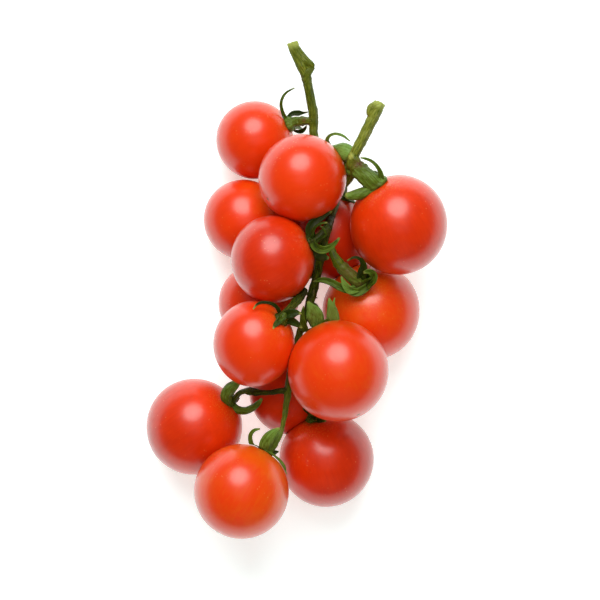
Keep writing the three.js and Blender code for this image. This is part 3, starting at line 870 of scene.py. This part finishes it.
for number, (stem, tall, ripe_and_shade, _, drawn_out) in FRUIT.items():
    middle, radius = PLACES[number]
    fruit = copy_of(pattern, f"fruit_{number}")
    seed = int(number)
    axis = unit(stem)
    first = unit(np.cross(axis, (0.3, 0.1, 1.0)))
    turn = np.column_stack([first, np.cross(axis, first), axis])
    angle = np.arctan2(ball[:, 1], ball[:, 0])
    wide = np.hypot(ball[:, 0], ball[:, 1])
    swell = 1 + wide**2 * (0.005 * np.cos(3 * angle + seed) + 0.004 * np.cos(5 * angle + 2 * seed))
    shape = ball * swell[:, None] * np.array([1, 1, tall]) * radius
    reach = wide * radius
    top = ball[:, 2] > 0
    folds = 1 + 0.16 * np.cos(5 * angle + seed)
    shape[:, 2] -= np.where(top, HOLLOW * np.exp(-((reach / (3.4 * folds)) ** 2)), 0)
    shape[:, 2] += np.where(top, 0, 0.22 * np.exp(-((reach / 1.6) ** 2)) - 0.2 * np.exp(-((reach / 0.45) ** 2)))
    shape = shape @ turn.T * np.array([1, drawn_out, 1])
    place_corners(fruit, pressed(shape + middle, number) * MM)
    note(fruit, "pole", ball + seed * 3.1)
    note(fruit, "height", ball[:, 2])
    note(fruit, "ripe_and_shade", np.full(len(ball), ripe_and_shade))
    finish_piece(fruit, SKIN, f"tomato_{number}")
bpy.data.objects.remove(pattern)

# ---- Stem ------------------------------------------------------------------------------------------------

stalk_lines = {}
for name, way in STALKS.items():
    line = smooth_line(way, MAIN_POINTS if name == "main" else SIDE_POINTS)
    line[:, :3] = clear_of_fruit(line[:, :3], line[:, 3] + 0.2)
    line[:, :3] = smooth_line(line[::4, :3].tolist() + [line[-1, :3].tolist()], len(line))
    stalk_lines[name] = line
arm_lines = {number: arm_line(number) for number in FRUIT}
stubs = [smooth_line(stub, STUB_POINTS) for stub in STUBS]

stem_lines = [*stalk_lines.values(), *stubs] + [line[: knuckle + 2] for line, knuckle in arm_lines.values()]
stem = join([rod(line) for line in stem_lines], "truss_stem")
modify(stem, "REMESH", mode="VOXEL", voxel_size=STEM_GRID * MM, adaptivity=0.0)
modify(stem, "SMOOTH", factor=0.5, iterations=7)
facts = grain_along(stem, stem_lines)
spots, outward = corners(stem), normals_of(stem)
cut_main, cut_side = (stalk_lines[name][0, :3] for name in ("main", "side"))
lift = []
for (radius, angle, along, _), spot in zip(facts, spots / MM):
    ribs = math.cos(5 * angle + 0.05 * along) * 0.05 + math.cos(11 * angle - 0.11 * along) * 0.03
    lift.append(ribs * radius + 0.18 * noise.noise(Vector(spot) * 0.6) + 0.07 * noise.noise(Vector(spot) * 2.4))
place_corners(stem, spots + outward * (np.array(lift) * MM)[:, None])
spots = corners(stem) / MM
note(stem, "pale", spread(spots, [(cut_main, CUT_SIZE), (cut_side, CUT_SIZE), PALE_FLAP]))
note(stem, "brown", spread(spots, SCARS))
# The arm tones are partly painted shade, and the main stalk gets painted shade along Y.
tones = np.array(STALK_TONES + STUB_TONES + [TONES_AND_SHADE[number] for number in FRUIT])
line_numbers = facts[:, -1]
# Painted shade along the main stalk, darkest in its middle among the fruit.
shade = np.interp(spots[:, 1], SHADE_PLACES, SHADES)
note(stem, "tone", tones[line_numbers.astype(int)] + shade * (line_numbers == 0))
stem = join([stem, hairs(stem, STEM_HAIRS, 5)], "truss_stem")
round_normals(stem)
finish_piece(stem, STALK, "stem")

# ---- Calyxes ---------------------------------------------------------------------------------------------

ACROSS, ALONG = 9, 30
bpy.ops.object.select_all(action="DESELECT")
bpy.ops.mesh.primitive_grid_add(x_subdivisions=ACROSS - 1, y_subdivisions=ALONG - 1, size=2.0, location=(0, 0, 0))
blade = bpy.context.object
blade.name = "sepal_pattern"
blade_spots = corners(blade)


def sepal(line, number, tone, cup, seed, face=None):
    """A sepal along a line of points with half widths: a thin blade, folded down its middle, with curled edges."""
    axis = seat_of(number)[1]
    middle, radius = PLACES[number]
    line = smooth_line(line, ALONG)
    obj = copy_of(blade, "sepal")
    tangent = np.gradient(line[:, :3], axis=0)
    tangent /= np.linalg.norm(tangent, axis=1, keepdims=True)
    face = np.array([0, 0, 1.0]) if face is None else face
    side = np.cross(tangent, face)
    side /= np.maximum(np.linalg.norm(side, axis=1, keepdims=True), 1e-6)
    for k in range(1, len(side)):
        if np.dot(side[k], side[k - 1]) < 0:
            side[k] = -side[k]
    up = np.cross(side, tangent)
    at = (blade_spots[:, 1] + 1) / 2 * (ALONG - 1)
    low = np.minimum(at.astype(int), ALONG - 2)
    mix = (at - low)[:, None]

    def along(values):
        return values[low] * (1 - mix) + values[low + 1] * mix

    across = blade_spots[:, 0]
    half = along(line[:, 3:4])[:, 0]
    share = at / (ALONG - 1)
    ruffle = 0.14 * np.sin(share * 9 + seed + across) * across**2
    bow = half * (cup * across**2 - 0.34 * np.exp(-((across / 0.22) ** 2)) * (1 - share)) + half * ruffle
    shape = along(line[:, :3]) + along(side) * (across * half)[:, None] + along(up) * bow[:, None]
    away = shape - middle
    far = np.linalg.norm(away, axis=1)
    need = radius + SEPAL_GAP - HOLLOW * np.exp(-((np.linalg.norm(np.cross(away, axis), axis=1) / 3.6) ** 2))
    inside = far < need
    shape[inside] = middle + away[inside] / far[inside, None] * need[inside, None]
    place_corners(obj, shape * MM)
    note(obj, "along", share)
    note(obj, "tone", np.full(len(across), tone) + 0.12 * share)
    note(obj, "grain", np.column_stack([across * 1.1, np.full(len(across), seed * 1.7), share * 1.1]))
    modify(obj, "SOLIDIFY", thickness=SEPAL_THICKNESS * MM, offset=0.0, use_even_offset=False)
    return obj


def laid_line(number, turn, length, width, low, high):
    """A line for a sepal along the skin. It lifts from it by low degrees at the root and high at the tip."""
    seat, axis = seat_of(number)
    top = unit(np.array([0, 0, 1]) - axis * axis[2])
    out = top * math.cos(math.radians(turn)) + np.cross(axis, top) * math.sin(math.radians(turn))
    spot, points = seat + axis * 0.9 + out * 0.8, []
    for step in range(LAID_STEPS + 1):
        share = step / LAID_STEPS
        belly = 0.7 + 0.3 * math.sin(math.pi * min(1, share / 0.5))
        half = width / 2 * belly * math.cos(share**1.6 * math.pi / 2)
        points.append([*spot, max(half, 0.15)])
        lift = math.radians(low + (high - low) * share)
        spot = spot + (out * math.cos(lift) + axis * math.sin(lift)) * length / LAID_STEPS
        spot = clear_of_fruit([spot], 0.7, number, 0.5)[0]
    return np.array(points)


for number in FRUIT:
    seat, axis = seat_of(number)
    line, knuckle = arm_lines[number]
    first = unit(np.cross(axis, (0.3, 0.1, 1.0)))
    turn = np.column_stack([first, np.cross(axis, first), axis])
    own = line[knuckle - 1 :]
    core = [rod(own), blob(seat + axis * 0.35, (SEAT_RADIUS, SEAT_RADIUS, 1.15), turn)]
    core.append(blob(seat + axis * 0.9, (own[-1, 3] * 1.2, own[-1, 3] * 1.2, 1.6), turn))
    core = join(core, "core")
    modify(core, "REMESH", mode="VOXEL", voxel_size=CALYX_GRID * MM, adaptivity=0.0)
    modify(core, "SMOOTH", factor=0.5, iterations=4)
    facts = grain_along(core, [own])
    spots, outward = corners(core), normals_of(core)
    lift = []
    for (radius, angle, along, _), spot in zip(facts, spots / MM):
        ribs = math.cos(5 * angle + 0.1 * along) * 0.05 * min(radius, 2)
        lift.append(ribs + 0.16 * noise.noise(Vector(spot) * 0.8) + 0.1 * noise.noise(Vector(spot) * 2.2))
    place_corners(core, spots + outward * (np.array(lift) * MM)[:, None])
    note(core, "along", np.zeros(len(spots)))
    # The core takes its arm's tone, which is partly painted shade.
    note(core, "tone", np.full(len(spots), TONES_AND_SHADE[number] + 0.1))
    parts = [core, hairs(core, CALYX_HAIRS, 11 + int(number))]
    for k, (tone, cup, points) in enumerate(FREE_SEPALS.get(number, [])):
        parts.append(sepal(points, number, tone, cup, k + int(number)))
    for k, plan in enumerate(LAID_SEPALS[number]):
        points = laid_line(number, *plan)
        face = unit(points[:, :3].mean(axis=0) - PLACES[number][0])
        # Laid sepals take their arm's tone, which is partly painted shade.
        parts.append(sepal(points, number, TONES_AND_SHADE[number], 0.3, k + 3 + int(number), face))
    calyx = join(parts, f"calyx_leaves_{number}")
    share = np.empty(len(calyx.data.vertices), np.float32)
    calyx.data.attributes["along"].data.foreach_get("value", share)
    start, amount = (0.82, 1.0) if number == "09" else (0.9, 0.5)
    note(calyx, "pale", np.clip((share - start) / (1 - start), 0, 1) * amount)
    tips = np.clip((share - 0.96) / 0.04, 0, 1) * (0.2 if number == "09" else 0.8)
    worn = (share == 0) * (0.6 if number == "07" else 0.12)
    note(calyx, "brown", np.maximum(tips + worn, spread(corners(calyx) / MM, SCARS)))
    round_normals(calyx)
    finish_piece(calyx, LEAF, f"calyx_{number}")
bpy.data.objects.remove(blade)

# ---- Floor, light and camera -----------------------------------------------------------------------------

bpy.ops.object.select_all(action="DESELECT")
bpy.ops.mesh.primitive_plane_add(size=FLOOR_SIZE, location=(0, 0, FLOOR_HEIGHT))
floor = bpy.context.object
floor.name = "floor"
white = Look(
    "floor_white",
    Base_Color=(0.76, 0.92, 0.94, 1.0),
    Roughness=0.6,
    Emission_Color=(1.0, 0.95, 0.88, 1.0),
    Emission_Strength=0.5,
)
floor.data.materials.append(white.material)

scene = bpy.context.scene
scene.view_settings.view_transform = "Standard"
world = scene.world or bpy.data.worlds.new("world")
scene.world = world
world.use_nodes = True
sky = world.node_tree.nodes["Background"]
sky.inputs["Color"].default_value = (1, 1, 1, 1)
sky.inputs["Strength"].default_value = WORLD_STRENGTH


def lamp(name, way, distance, size, power, shines=True):
    bpy.ops.object.select_all(action="DESELECT")
    bpy.ops.object.light_add(type="AREA", location=Vector(way).normalized() * distance)
    light = bpy.context.object
    light.name = name
    light.data.shape = "DISK"
    light.data.size = size
    light.data.energy = power
    light.rotation_euler = Vector(way).to_track_quat("Z", "Y").to_euler()
    light.visible_glossy = shines


lamp("fill_light", (0.1, -0.84, 0.54), 1.2, 1.1, 4.0, shines=False)
lamp("top_light", (0.05, 0.02, 1.0), 1.0, 0.7, 3.2, shines=False)
lamp("key_light", (-0.06, 0.62, 0.78), 1.0, 0.8, 9.6)

bpy.ops.object.camera_add(location=[v * MM for v in CAMERA_PLACE], rotation=(0, 0, 0))
camera = bpy.context.object
camera.name = "camera_main"
camera.data.lens = CAMERA_LENS
camera.data.sensor_width = CAMERA_SENSOR
camera.data.clip_start = 0.01
scene.camera = camera
